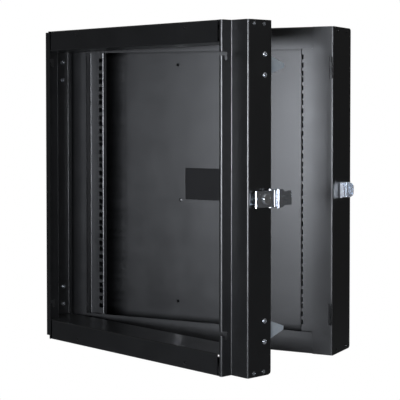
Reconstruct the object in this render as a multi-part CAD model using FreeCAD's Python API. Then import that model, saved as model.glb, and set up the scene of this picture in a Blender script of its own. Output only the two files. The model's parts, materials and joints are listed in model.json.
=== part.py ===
import FreeCAD, Part

# Wall mount network cabinet, 12 rack units, in two folded-sheet sections.
# The rear wall box carries the square-hole rack rails and stays on the wall.
# The front frame is hinged on its left edge and is held by a draw latch on the right.
#
# Frame of the model, in millimetres: the origin is the centre of the wall face,
# +X is the right hand of someone facing the cabinet, +Y goes into the wall, +Z is up.
# The front frame and its latch are modelled shut and then swung open by OPEN_ANGLE.

import math
import os

V = FreeCAD.Vector

# ---- overall sizes ---------------------------------------------------------------
WIDTH = 600.0
HEIGHT = 635.0
BOX_DEPTH = 97.0
FRAME_DEPTH = 60.0
COLLAR_RISE = 24.0
CLOSING_GAP = 1.0
OPEN_ANGLE = 20.0

# ---- sheet metal -----------------------------------------------------------------
SHEET = 1.5
BEND = 1.5
SOFT_BEND = 8.5
BORDER = 42.0
SEAT_GAP = 0.2
BEND_RELIEF = 1.2
END_FLANGE = 14.0
END_FLANGE_INSET = 12.0

# ---- wall box --------------------------------------------------------------------
BACK_BAND = 78.7
BAND_OVERLAP = 15.0
SIDE_BACK_FLANGE = 25.0
WALL_HOLE_X = 88.2
WALL_HOLE_FROM_END = 65.8
WALL_HOLE_RADIUS = 3.5
CABLE_OPENING_X = -28.5
CABLE_OPENING_WIDTH = 82.0
CABLE_OPENING_HEIGHT = 67.0
COVER_LAP = 22.0
COVER_SCREW_FROM_OPENING = 11.5
COVER_SCREW_Z = -35.0

# ---- rack rails (19-inch, square holes) --------------------------------------------
RACK_UNITS = 12
RACK_UNIT = 44.45
HOLE_PITCH = 15.875
HOLE_LINES = 465.1
SQUARE_HOLE = 9.5
RAIL_OPENING = 450.0
RAIL_RECESS = 18.3
RAIL_SHEET = 1.5
RAIL_LIP = 18.0
RAIL_RETURN = 10.0

# ---- front frame -------------------------------------------------------------------
BEAM_HEIGHT = 40.0
REAR_RETURN = 12.0
RETURN_NOTCH = 70.0
COLLAR_HEM = 6.0
FACE_NOTCH = 5.0
SLOT_WIDTH = 7.0
SLOT_DEPTH = 14.5
SLOT_DROP = 12.5
TOP_SLOT_FROM_END = 60.0
BOTTOM_SLOT_FROM_END = 76.7
FACE_RIVET_X = 161.0
FACE_RIVET_FROM_END = 10.6

# ---- fixings -----------------------------------------------------------------------
FIXING_NEAR = 61.0
FIXING_FAR = 98.0
FIXING_FROM_EDGE = 18.0
SCREW_RADIUS = 2.5
SCREW_HEAD_RADIUS = 4.8
SCREW_HEAD_RISE = 2.6
SCREW_CLEARANCE = 0.1
SCREW_LENGTH = 11.0
NUT_ACROSS_FLATS = 8.0
NUT_THICKNESS = 4.0
RIVET_RADIUS = 1.9
RIVET_HEAD_RADIUS = 3.4
RIVET_HEAD_RISE = 1.1
RIVET_CLEARANCE = 0.05
RIVET_TAIL = 1.2
RIVET_FROM_END = 7.5
RIVET_TAIL_RADIUS = 2.9
BOX_RIVET_FRONT = 22.0
BOX_RIVET_REAR = 25.0
FRAME_RIVET_REAR = 20.0
FRAME_RIVET_PITCH = 25.0
LATCH_RIVET_REAR = 10.0
LATCH_RIVET_PITCH = 34.0
KEEPER_RIVET_PITCH = 10.0

# ---- hinges ------------------------------------------------------------------------
HINGE_SHEET = 2.0
BARREL_RADIUS = 4.5
BARREL_STANDOFF = 0.5
PIN_RADIUS = 2.3
PIN_FIT = 0.05
PIN_HEAD_RADIUS = 3.8
PIN_HEAD_RISE = 1.6
LEAF_WIDTH = 28.0
LEAF_MARGIN = 9.0
KNUCKLE_GAP = 0.4

# ---- locating tongues and the slots that take them ---------------------------------
TONGUE_SHEET = 2.5
TONGUE_JOGGLE = 2.8
TONGUE_REACH = 36.0
TONGUE_GRIP = 30.0
TONGUE_ROOT = 33.0
TONGUE_TIP = 7.0
TONGUE_SLOT_WIDTH = 6.8
TONGUE_SLOT_HEIGHT = 42.0

# ---- draw latch --------------------------------------------------------------------
LATCH_SHEET = 1.5
LATCH_BASE_HEIGHT = 21.0
LATCH_BASE_LENGTH = 55.0
LATCH_BASE_WALL = 4.5
CAM_WALL = 10.0
CAM_WALL_LENGTH = 19.0
LATCH_BASE_END = 1.0
FULCRUM_FROM_EDGE = 4.0
FULCRUM_HEIGHT = 9.0
FULCRUM_RADIUS = 2.0
FULCRUM_FIT = 0.06
EAR_RADIUS = 4.1
LEVER_HEIGHT = 29.0
LEVER_LENGTH = 47.0
LEVER_RISE = 4.6
LEVER_ROLL = 6.0
LEVER_FLANGE_DROP = 5.0
LEVER_FLANGE_INSET = 4.0
GRIP_LENGTH = 7.0
GRIP_RISE = 5.0
GRIP_BEND = 4.0
CLAW_OFFSET = 8.0
CLAW_DROP = 1.0
CLAW_ROD_RADIUS = 1.8
CLAW_ROD_HEAD = 3.0
CLAW_ROD_HEAD_RISE = 1.0
CLAW_ARM = 4.2
CLAW_REACH = 47.0
CLAW_ROOT_FROM_ROD = 12.5
CLAW_ROOT_LENGTH = 11.0
CLAW_SHOULDER_SLOPE = 3.0
CLAW_WEB_RISE = 9.5
CLAW_PLATE_HALF = 12.5
CLAW_LIP = 10.5
CLAW_ROOT_BEAD = 2.2
SIDE_PLAY = 0.4
LOCK_FROM_FULCRUM = 23.0
LOCK_RING_RADIUS = 9.5
LOCK_RING_RISE = 3.0
LOCK_RING_FILLET = 1.2
LOCK_BARREL_RADIUS = 6.8
LOCK_BARREL_DEPTH = 6.0
LOCK_PLUG_RADIUS = 4.8
LOCK_PLUG_SINK = 0.6
LOCK_FIT = 0.06
KEYWAY_WIDTH = 1.6
KEYWAY_LENGTH = 5.6
KEYWAY_DEPTH = 5.0
CAM_LENGTH = 11.5
CAM_WIDTH = 6.0
CAM_THICKNESS = 1.6
CAM_WINDOW_LENGTH = 12.5
KEEPER_GAP = 0.4
KEEPER_HEIGHT = 29.0
KEEPER_CORNER = 9.0
KEEPER_CATCH_RISE = 11.0
KEEPER_GUARD_RISE = 17.5
KEEPER_LENGTH = 37.0

# ---- levels worked out from the sizes above ------------------------------------------
HALF_W = WIDTH / 2
HALF_H = HEIGHT / 2
BOX_FRONT = -BOX_DEPTH
FRAME_REAR = BOX_FRONT - CLOSING_GAP
SHOULDER = FRAME_REAR - FRAME_DEPTH
COLLAR_FRONT = SHOULDER - COLLAR_RISE
WINDOW_X = HALF_W - BORDER
WINDOW_Z = HALF_H - BORDER
WALL_HOLE_Z = HALF_H - WALL_HOLE_FROM_END
FRAME_WINDOW_Z = HALF_H - BEAM_HEIGHT
HINGE_X = -HALF_W - BARREL_RADIUS - BARREL_STANDOFF
HINGE_Y = (BOX_FRONT + FRAME_REAR) / 2
FULCRUM_Y = FRAME_REAR - FULCRUM_FROM_EDGE
FULCRUM_X = HALF_W + FULCRUM_HEIGHT
ROD_Y = FULCRUM_Y - CLAW_OFFSET
ROD_X = FULCRUM_X - CLAW_DROP
LOCK_Y = FULCRUM_Y - LOCK_FROM_FULCRUM
LEVER_SKIN_X = FULCRUM_X + LEVER_RISE
CLAW_WEB_X = ROD_X + CLAW_WEB_RISE
CLAW_TIP_Y = ROD_Y + CLAW_REACH
KEEPER_FRONT = CLAW_TIP_Y - 2 * LATCH_SHEET - KEEPER_GAP
ENDS = (1, -1)


# ---- helpers: solids -------------------------------------------------------------------
def block(x0, x1, y0, y1, z0, z1):
    """Box between two corners, given in any order."""
    low = V(min(x0, x1), min(y0, y1), min(z0, z1))
    return Part.makeBox(abs(x1 - x0), abs(y1 - y0), abs(z1 - z0), low)


def rod(radius, start, end):
    """Round bar between two points."""
    span = end.sub(start)
    return Part.makeCylinder(radius, span.Length, start, span)


def fuse_all(shapes):
    """One clean solid from touching or overlapping ones."""
    joined = shapes[0]
    for shape in shapes[1:]:
        joined = joined.fuse(shape)
    return joined.removeSplitter()


def cut_all(shape, tools):
    return shape.cut(Part.makeCompound(tools)) if tools else shape


def mirrored_x(shape):
    return shape.mirror(V(0, 0, 0), V(1, 0, 0))


def mirrored_z(shape):
    return shape.mirror(V(0, 0, 0), V(0, 0, 1))


# ---- helpers: folded sheet ---------------------------------------------------------------
def shifted_right(points, distance):
    """The corner points of an open path, moved sideways to its right by distance."""
    lines = []
    for (ax, ay), (bx, by) in zip(points, points[1:]):
        length = math.hypot(bx - ax, by - ay)
        nx, ny = (by - ay) / length, -(bx - ax) / length
        lines.append(((ax + nx * distance, ay + ny * distance), (bx - ax, by - ay)))
    moved = [lines[0][0]]
    for ((px, py), (dx, dy)), ((qx, qy), (ex, ey)) in zip(lines, lines[1:]):
        step = ((qx - px) * ey - (qy - py) * ex) / (dx * ey - dy * ex)
        moved.append((px + dx * step, py + dy * step))
    (px, py), (dx, dy) = lines[-1]
    moved.append((px + dx, py + dy))
    return moved


def turns_right(before, corner, after):
    ax, ay = corner[0] - before[0], corner[1] - before[1]
    bx, by = after[0] - corner[0], after[1] - corner[1]
    return ax * by - ay * bx < 0


def rounded_edges(points, radii, place):
    """Straight runs joined by tangent arcs. radii has one value for each inner corner."""
    edges = []
    start = points[0]
    for index, radius in enumerate(radii, start=1):
        corner, before, after = points[index], points[index - 1], points[index + 1]
        ax, ay = before[0] - corner[0], before[1] - corner[1]
        bx, by = after[0] - corner[0], after[1] - corner[1]
        la, lb = math.hypot(ax, ay), math.hypot(bx, by)
        ax, ay, bx, by = ax / la, ay / la, bx / lb, by / lb
        half = math.acos(max(-1.0, min(1.0, ax * bx + ay * by))) / 2
        reach = radius / math.tan(half)
        first = (corner[0] + ax * reach, corner[1] + ay * reach)
        last = (corner[0] + bx * reach, corner[1] + by * reach)
        mx, my = ax + bx, ay + by
        lm = math.hypot(mx, my)
        sag = radius / math.sin(half) - radius
        middle = (corner[0] + mx / lm * sag, corner[1] + my / lm * sag)
        edges.append(Part.LineSegment(place(start), place(first)).toShape())
        edges.append(Part.Arc(place(first), place(middle), place(last)).toShape())
        start = last
    edges.append(Part.LineSegment(place(start), place(points[-1])).toShape())
    return edges


def folded_face(points, thickness, place, inner_radii=None):
    """Section of a folded sheet. points is its outer skin, the metal lies to the right.

    inner_radii holds the inside bend radius of each inner corner, BEND by default.
    """
    corners = range(1, len(points) - 1)
    inner_radii = inner_radii or [BEND] * len(corners)
    inner = shifted_right(points, thickness)
    outer_radii, opposite_radii = [], []
    for index, radius in zip(corners, inner_radii):
        right = turns_right(points[index - 1], points[index], points[index + 1])
        outer_radii.append(radius + thickness if right else radius)
        opposite_radii.append(radius if right else radius + thickness)
    # where the path turns right the metal is inside the bend, so its far skin is the tight one
    out = rounded_edges(points, outer_radii, place)
    back = rounded_edges(inner, opposite_radii, place)
    caps = [Part.LineSegment(place(points[0]), place(inner[0])).toShape(),
            Part.LineSegment(place(points[-1]), place(inner[-1])).toShape()]
    return Part.Face(Part.Wire(Part.__sortEdges__(out + back + caps)))


def folded_upright(points, thickness, z0, z1, inner_radii=None):
    """Folded sheet with a plan section in X and Y, standing from z0 to z1."""
    face = folded_face(points, thickness, lambda p: V(p[0], p[1], z0), inner_radii)
    return face.extrude(V(0, 0, z1 - z0))


def folded_across(points, thickness, x0, x1, inner_radii=None):
    """Folded sheet with a side section in Y and Z, running from x0 to x1."""
    face = folded_face(points, thickness, lambda p: V(x0, p[0], p[1]), inner_radii)
    return face.extrude(V(x1 - x0, 0, 0))


def side_outline(front, rear, top_radius, bottom_radius):
    """Full-width block whose rear corners, seen from the side, are rounded."""
    points = [(front, HALF_H), (rear, HALF_H), (rear, -HALF_H), (front, -HALF_H)]
    edges = rounded_edges(points, [top_radius, bottom_radius], lambda p: V(-WIDTH, p[0], p[1]))
    edges.append(Part.LineSegment(V(-WIDTH, front, -HALF_H), V(-WIDTH, front, HALF_H)).toShape())
    face = Part.Face(Part.Wire(Part.__sortEdges__(edges)))
    return face.extrude(V(2 * WIDTH, 0, 0))


# ---- helpers: fixings ----------------------------------------------------------------------
def dome(radius, rise, point, direction):
    """Low round head: a slice of a ball on a short straight rim."""
    rim = rise * 0.35
    cap = rise - rim
    ball = (radius * radius + cap * cap) / (2 * cap)
    centre = point.add(V(direction).multiply(rim + cap - ball))
    skirt = rod(radius, point, point.add(V(direction).multiply(rise)))
    return Part.makeSphere(ball, centre, V(direction)).common(skirt)


def screw(point, direction, length):
    """Pan-head screw with its head seated at point; direction points out of the head."""
    inward = V(direction).multiply(-length)
    return fuse_all([dome(SCREW_HEAD_RADIUS, SCREW_HEAD_RISE, point, direction),
                     rod(SCREW_RADIUS, point, point.add(inward))])


def nut(point, direction):
    """Hexagon nut whose seat is at point; direction points away from the seat."""
    corner = NUT_ACROSS_FLATS / math.sqrt(3)
    ring = [V(0, corner * math.cos(math.radians(60 * k)), corner * math.sin(math.radians(60 * k)))
            for k in range(6)]
    ring = [point.add(p) for p in ring]
    hexagon = Part.Face(Part.makePolygon(ring + [ring[0]]))
    body = hexagon.extrude(V(direction).multiply(NUT_THICKNESS))
    hole = rod(SCREW_RADIUS + SCREW_CLEARANCE, point.sub(direction), point.add(V(direction).multiply(9)))
    return body.cut(hole)


def rivet(point, direction, grip):
    """Blind rivet: domed head outside, shank through the sheets, set tail behind them."""
    back = point.add(V(direction).multiply(-grip))
    tail_end = back.add(V(direction).multiply(-RIVET_TAIL))
    return fuse_all([dome(RIVET_HEAD_RADIUS, RIVET_HEAD_RISE, point, direction),
                     rod(RIVET_RADIUS, point, back),
                     rod(RIVET_TAIL_RADIUS, back, tail_end)])


def drill_x(radius, y, z, x0, x1):
    return rod(radius, V(x0, y, z), V(x1, y, z))


def drill_y(radius, x, z, y0, y1):
    return rod(radius, V(x, y0, z), V(x, y1, z))


def fixing_heights():
    """Heights of the paired screws that hold the hinges and the tongues."""
    return [end * (HALF_H - inset) for end in ENDS for inset in (FIXING_NEAR, FIXING_FAR)]


def plate_middle(end):
    return end * (HALF_H - (FIXING_NEAR + FIXING_FAR) / 2)


SCREW_HOLE = SCREW_RADIUS + SCREW_CLEARANCE
RIVET_HOLE = RIVET_RADIUS + RIVET_CLEARANCE
RIVET_HEIGHT = HALF_H - RIVET_FROM_END
BOX_RIVETS_Y = (BOX_FRONT + BOX_RIVET_FRONT, -BOX_RIVET_REAR)
FRAME_RIVETS_Y = (FRAME_REAR - FRAME_RIVET_REAR - FRAME_RIVET_PITCH, FRAME_REAR - FRAME_RIVET_REAR)
FRAME_FIXING_Y = FRAME_REAR - FIXING_FROM_EDGE
BOX_FIXING_Y = BOX_FRONT + FIXING_FROM_EDGE
KEEPER_RIVETS = [(KEEPER_FRONT + KEEPER_LENGTH / 2, end * KEEPER_RIVET_PITCH / 2) for end in ENDS]
LATCH_RIVETS = [(FULCRUM_Y - LATCH_RIVET_REAR - LATCH_RIVET_PITCH, 0.0),
                (FULCRUM_Y - LATCH_RIVET_REAR, 0.0)]


# ---- wall box ------------------------------------------------------------------------------
def box_side_panel():
    """Right side panel: front border, side wall and a narrow back flange, in one fold."""
    skin = [(HALF_W - SIDE_BACK_FLANGE, 0), (HALF_W, 0), (HALF_W, BOX_FRONT), (WINDOW_X, BOX_FRONT)]
    panel = folded_upright(skin, SHEET, -HALF_H, HALF_H)
    panel = panel.common(side_outline(BOX_FRONT, 0, SOFT_BEND + SHEET, SOFT_BEND + SHEET))
    relief = SOFT_BEND + SHEET + SEAT_GAP
    tools = []
    for end in ENDS:
        tools.append(block(0, HALF_W - SHEET, -SHEET - BEND, 1, end * (HALF_H - relief), end * HEIGHT))
        for y in BOX_RIVETS_Y:
            tools.append(drill_x(RIVET_HOLE, y, end * RIVET_HEIGHT, 0, WIDTH))
    return cut_all(panel, tools)


def tongue_slots():
    """Openings in the right front border that take the frame's locating tongues."""
    inner = HALF_W - SHEET - TONGUE_SLOT_WIDTH
    half = TONGUE_SLOT_HEIGHT / 2
    return [block(inner, HALF_W - SHEET, BOX_FRONT - 1, BOX_FRONT + SHEET + BEND,
                  plate_middle(end) - half, plate_middle(end) + half) for end in ENDS]


def box_right_panel():
    keeper_holes = [drill_x(RIVET_HOLE, y, z, 0, WIDTH) for y, z in KEEPER_RIVETS]
    return cut_all(box_side_panel(), tongue_slots() + keeper_holes)


def box_left_panel():
    holes = [drill_x(SCREW_HOLE, BOX_FIXING_Y, z, 0, -WIDTH) for z in fixing_heights()]
    return cut_all(mirrored_x(box_side_panel()), holes)


def box_top_panel():
    """Top panel: front border, top, and the deep back band that goes on the wall."""
    inner_x = HALF_W - SHEET
    skin = [(BOX_FRONT, WINDOW_Z), (BOX_FRONT, HALF_H), (0, HALF_H),
            (0, HALF_H - BACK_BAND - BAND_OVERLAP)]
    panel = folded_across(skin, SHEET, -inner_x, inner_x, [BEND, SOFT_BEND])
    border_end = WINDOW_X - SEAT_GAP
    band_end = HALF_W - SIDE_BACK_FLANGE - SEAT_GAP
    band_top = HALF_H - SOFT_BEND - SHEET
    tools = []
    for side in ENDS:
        tools.append(block(side * border_end, side * WIDTH, BOX_FRONT - 1,
                           BOX_FRONT + SHEET + BEND_RELIEF, 0, HEIGHT))
        tools.append(block(side * band_end, side * WIDTH, -SHEET - BEND, 1, 0, band_top))
        tools.append(drill_y(WALL_HOLE_RADIUS, side * WALL_HOLE_X, WALL_HOLE_Z, -BOX_DEPTH / 2, 1))
    panel = cut_all(panel, tools)
    ends = [block(side * (inner_x - SHEET), side * inner_x, BOX_FRONT + END_FLANGE_INSET,
                  -END_FLANGE_INSET, HALF_H - END_FLANGE, HALF_H - SHEET) for side in ENDS]
    panel = fuse_all([panel] + ends)
    return cut_all(panel, [drill_x(RIVET_HOLE, y, RIVET_HEIGHT, -WIDTH, WIDTH) for y in BOX_RIVETS_Y])


def cover_screw_places():
    """The blanking plate's two screws, on opposite corners of the cable opening."""
    reach = CABLE_OPENING_WIDTH / 2 + COVER_SCREW_FROM_OPENING
    return [(CABLE_OPENING_X - reach, COVER_SCREW_Z), (CABLE_OPENING_X + reach, -COVER_SCREW_Z)]


def box_back_panel():
    """Middle of the back, in front of the bands, with the cable opening."""
    half_z = HALF_H - BACK_BAND
    half_x = HALF_W - SHEET - BEND_RELIEF - END_FLANGE / 2
    sheet = block(-half_x, half_x, -2 * SHEET, -SHEET, -half_z, half_z)
    half_opening = CABLE_OPENING_WIDTH / 2
    tools = [block(CABLE_OPENING_X - half_opening, CABLE_OPENING_X + half_opening, -9, 1,
                   -CABLE_OPENING_HEIGHT / 2, CABLE_OPENING_HEIGHT / 2)]
    tools += [drill_y(RIVET_HOLE, x, z, -9, 1) for x, z in cover_screw_places()]
    return cut_all(sheet, tools)


def cable_entry_cover():
    """Blanking plate behind the cable opening; it comes off where cables enter from the wall."""
    half_x = CABLE_OPENING_WIDTH / 2 + COVER_LAP
    half_z = CABLE_OPENING_HEIGHT / 2 + COVER_LAP
    sheet = block(CABLE_OPENING_X - half_x, CABLE_OPENING_X + half_x, -SHEET, -SHEET / 3,
                  -half_z, half_z)
    return cut_all(sheet, [drill_y(RIVET_HOLE, x, z, -9, 1) for x, z in cover_screw_places()])


def cover_screws():
    """Short screws from inside the box; their ends stop inside the blanking plate."""
    screws = []
    for x, z in cover_screw_places():
        seat = V(x, -2 * SHEET, z)
        screws.append(fuse_all([dome(RIVET_HEAD_RADIUS, RIVET_HEAD_RISE, seat, V(0, -1, 0)),
                                rod(RIVET_RADIUS, seat, V(x, -SHEET / 3, z))]))
    return screws


def rail():
    """Right rack rail: lip behind the border, leg back to the rack face, square holes, return."""
    lip_y = BOX_FRONT + SHEET
    face_y = BOX_FRONT + RAIL_RECESS
    leg_x = WINDOW_X - SEAT_GAP
    inner_x = RAIL_OPENING / 2
    skin = [(leg_x + RAIL_LIP, lip_y), (leg_x, lip_y), (leg_x, face_y), (inner_x, face_y),
            (inner_x, face_y + RAIL_RETURN)]
    half = HALF_H - SHEET - SEAT_GAP
    section = folded_upright(skin, RAIL_SHEET, -half, half)
    holes = []
    first = RACK_UNITS * RACK_UNIT / 2 - (RACK_UNIT - 2 * HOLE_PITCH) / 2
    for unit in range(RACK_UNITS):
        for step in range(3):
            z = first - unit * RACK_UNIT - step * HOLE_PITCH
            holes.append(block(HOLE_LINES / 2 - SQUARE_HOLE / 2, HOLE_LINES / 2 + SQUARE_HOLE / 2,
                               face_y - 1, face_y + RAIL_SHEET + 1,
                               z - SQUARE_HOLE / 2, z + SQUARE_HOLE / 2))
    return cut_all(section, holes)


def keeper():
    """Channel riveted to the box: the claw's lip drops in behind its low front wall."""
    back = KEEPER_FRONT + KEEPER_LENGTH
    skin = [(HALF_W + KEEPER_CATCH_RISE, KEEPER_FRONT), (HALF_W, KEEPER_FRONT), (HALF_W, back),
            (HALF_W + KEEPER_GUARD_RISE, back)]
    half = KEEPER_HEIGHT / 2
    body = folded_upright(skin, LATCH_SHEET, -half, half)
    tools = [drill_x(RIVET_HOLE, y, z, HALF_W - 5, HALF_W + 5) for y, z in KEEPER_RIVETS]
    for rise, y in ((KEEPER_CATCH_RISE, KEEPER_FRONT), (KEEPER_GUARD_RISE, back - LATCH_SHEET)):
        radius = min(KEEPER_CORNER, rise - LATCH_SHEET - BEND)
        for end in ENDS:
            corner = V(HALF_W + rise - radius, y - 1, end * (half - radius))
            square = block(corner.x, corner.x + radius + 1, y - 1, y + LATCH_SHEET + 1,
                           corner.z, end * (half + 1))
            tools.append(square.cut(rod(radius, corner, corner.add(V(0, LATCH_SHEET + 2, 0)))))
    return cut_all(body, tools)


# ---- front frame -----------------------------------------------------------------------------
def cover_slot(end_gap, end):
    """J-shaped slot in the right collar wall: in from the front edge, then down."""
    z = end * (HALF_H - end_gap)
    half = SLOT_WIDTH / 2
    x0, x1 = WINDOW_X - COLLAR_HEM - 3, WINDOW_X + 3
    centre_y = COLLAR_FRONT + SLOT_DEPTH - half
    mouth = block(x0, x1, COLLAR_FRONT - 1, centre_y, z - half, z + half)
    drop = block(x0, x1, centre_y - half, centre_y + half, z - SLOT_DROP + half, z)
    top = rod(half, V(x0, centre_y, z), V(x1, centre_y, z))
    foot = rod(half, V(x0, centre_y, z - SLOT_DROP + half), V(x1, centre_y, z - SLOT_DROP + half))
    return fuse_all([mouth, drop, top, foot])


def frame_post():
    """Post as the right one: rear return, side wall, shoulder, collar wall and hem in one fold."""
    skin = [(HALF_W - REAR_RETURN, FRAME_REAR), (HALF_W, FRAME_REAR), (HALF_W, SHOULDER),
            (WINDOW_X, SHOULDER), (WINDOW_X, COLLAR_FRONT), (WINDOW_X - COLLAR_HEM, COLLAR_FRONT)]
    post = folded_upright(skin, SHEET, -HALF_H, HALF_H)
    post = post.common(side_outline(COLLAR_FRONT, FRAME_REAR, SHEET + BEND, SOFT_BEND + SHEET))
    tools = [cover_slot(TOP_SLOT_FROM_END, 1), cover_slot(BOTTOM_SLOT_FROM_END, -1)]
    tools += [drill_x(SCREW_HOLE, FRAME_FIXING_Y, z, 0, WIDTH) for z in fixing_heights()]
    tools += [drill_x(RIVET_HOLE, y, end * RIVET_HEIGHT, 0, WIDTH) for end in ENDS for y in FRAME_RIVETS_Y]
    return cut_all(post, tools)


def frame_right_post():
    """The latch side: rivet holes for the latch, and a rear return cut away for the tongues."""
    tools = [drill_x(RIVET_HOLE, y, z, HALF_W - 9, WIDTH) for y, z in LATCH_RIVETS]
    for end in ENDS:
        middle = plate_middle(end)
        tools.append(block(HALF_W - REAR_RETURN - 1, HALF_W - SHEET, FRAME_REAR + 1,
                           FRAME_REAR - SHEET - BEND, middle - RETURN_NOTCH / 2,
                           middle + RETURN_NOTCH / 2))
    return cut_all(frame_post(), tools)


def frame_beam(rear_bend):
    """Top beam: rear lip, inner skin, front face, outer skin and rear lip, open at the back."""
    inner_x = HALF_W - SHEET
    skin = [(FRAME_REAR, FRAME_WINDOW_Z + REAR_RETURN), (FRAME_REAR, FRAME_WINDOW_Z),
            (COLLAR_FRONT, FRAME_WINDOW_Z),
            (COLLAR_FRONT, HALF_H), (FRAME_REAR, HALF_H), (FRAME_REAR, HALF_H - REAR_RETURN)]
    beam = folded_across(skin, SHEET, -inner_x, inner_x, [BEND, BEND, BEND, rear_bend])
    collar_inside = WINDOW_X - SHEET - SEAT_GAP
    tools = []
    for side in ENDS:
        tools.append(block(side * (WINDOW_X - COLLAR_HEM - FACE_NOTCH), side * WIDTH,
                           COLLAR_FRONT - 1, COLLAR_FRONT + SHEET + BEND_RELIEF, 0, HEIGHT))
        tools.append(block(side * collar_inside, side * WIDTH, COLLAR_FRONT - 1,
                           SHOULDER + SHEET + SEAT_GAP, 0, HEIGHT))
        tools.append(block(side * (HALF_W - REAR_RETURN - SEAT_GAP), side * WIDTH,
                           FRAME_REAR - SHEET - BEND_RELIEF, FRAME_REAR + 1, 0, HEIGHT))
        tools.append(drill_y(RIVET_HOLE, side * FACE_RIVET_X, HALF_H - FACE_RIVET_FROM_END,
                             COLLAR_FRONT - 1, COLLAR_FRONT + 9))
    beam = cut_all(beam, tools)
    ends = [block(side * (inner_x - SHEET), side * inner_x, SHOULDER + END_FLANGE / 2,
                  FRAME_REAR - END_FLANGE_INSET, HALF_H - END_FLANGE, HALF_H - SHEET)
            for side in ENDS]
    beam = fuse_all([beam] + ends)
    return cut_all(beam, [drill_x(RIVET_HOLE, y, RIVET_HEIGHT, -WIDTH, WIDTH) for y in FRAME_RIVETS_Y])


def tongue(end):
    """Zinc-plated locating plate: flat on the side wall, joggled inwards, tapered at the rear."""
    z = plate_middle(end)
    wall = HALF_W - SHEET
    bend_y = FRAME_REAR - FIXING_FROM_EDGE / 2
    skin = [(wall, FRAME_REAR - TONGUE_GRIP), (wall, bend_y),
            (wall - TONGUE_JOGGLE, bend_y + TONGUE_JOGGLE), (wall - TONGUE_JOGGLE, FRAME_REAR + TONGUE_REACH)]
    skin.reverse()
    half = (FIXING_FAR - FIXING_NEAR) / 2 + LEAF_MARGIN
    plate = folded_face(skin, TONGUE_SHEET, lambda p: V(p[0], p[1], z - half), [BEND, BEND])
    plate = plate.extrude(V(0, 0, 2 * half))
    root, tip = TONGUE_ROOT / 2, TONGUE_TIP / 2
    tip_y = FRAME_REAR + TONGUE_REACH
    outline = [(bend_y, half), (bend_y + TONGUE_JOGGLE, root), (FRAME_REAR, root), (tip_y, tip),
               (tip_y, -tip), (FRAME_REAR, -root), (bend_y + TONGUE_JOGGLE, -root), (bend_y, -half),
               (FRAME_REAR - TONGUE_GRIP, -half), (FRAME_REAR - TONGUE_GRIP, half)]
    ring = [V(0, y, z + dz) for y, dz in outline]
    side = Part.Face(Part.makePolygon(ring + [ring[0]])).extrude(V(WIDTH, 0, 0))
    plate = plate.common(side)
    return cut_all(plate, [drill_x(SCREW_HOLE, FRAME_FIXING_Y, h, 0, WIDTH) for h in fixing_heights()])


# ---- hinges --------------------------------------------------------------------------------------
def knuckle_levels(end):
    """The three knuckles of one hinge, from the bottom up, as (z0, z1)."""
    half = (FIXING_FAR - FIXING_NEAR) / 2 + LEAF_MARGIN
    low, third = plate_middle(end) - half, 2 * half / 3
    return [(low + k * third + KNUCKLE_GAP / 2, low + (k + 1) * third - KNUCKLE_GAP / 2)
            for k in range(3)]


def hinge_leaf(end, way, knuckles):
    """Leaf lying on the left wall; way is -1 for the frame's leaf and 1 for the box's."""
    levels = knuckle_levels(end)
    low, high = levels[0][0], levels[2][1]
    near = HINGE_Y + way * (BARREL_RADIUS + KNUCKLE_GAP)
    far = HINGE_Y + way * LEAF_WIDTH
    pieces = [block(-HALF_W - HINGE_SHEET, -HALF_W, near, far, low, high)]
    for k in knuckles:
        z0, z1 = levels[k]
        pieces.append(block(-HALF_W - HINGE_SHEET, -HALF_W - BARREL_STANDOFF, HINGE_Y, near, z0, z1))
        pieces.append(rod(BARREL_RADIUS, V(HINGE_X, HINGE_Y, z0), V(HINGE_X, HINGE_Y, z1)))
    leaf = fuse_all(pieces)
    bore = rod(PIN_RADIUS + PIN_FIT, V(HINGE_X, HINGE_Y, -HALF_H), V(HINGE_X, HINGE_Y, HALF_H))
    y = FRAME_FIXING_Y if way < 0 else BOX_FIXING_Y
    holes = [drill_x(SCREW_HOLE, y, z, 0, -WIDTH) for z in fixing_heights()]
    return cut_all(leaf, [bore] + holes)


def hinge_pin(end):
    """Headed pin dropped in from above, with a small set head below."""
    levels = knuckle_levels(end)
    low = V(HINGE_X, HINGE_Y, levels[0][0] - KNUCKLE_GAP)
    high = V(HINGE_X, HINGE_Y, levels[2][1] + KNUCKLE_GAP)
    return fuse_all([rod(PIN_RADIUS, low, high),
                     dome(PIN_HEAD_RADIUS, PIN_HEAD_RISE, high, V(0, 0, 1)),
                     dome(PIN_HEAD_RADIUS, PIN_HEAD_RISE, low, V(0, 0, -1))])


def hinge_screws(y):
    head = V(-HALF_W - HINGE_SHEET, y, 0)
    return [screw(head.add(V(0, 0, z)), V(-1, 0, 0), SCREW_LENGTH) for z in fixing_heights()]


def hinge_nuts(y):
    return [nut(V(-HALF_W + SHEET, y, z), V(1, 0, 0)) for z in fixing_heights()]


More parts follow.
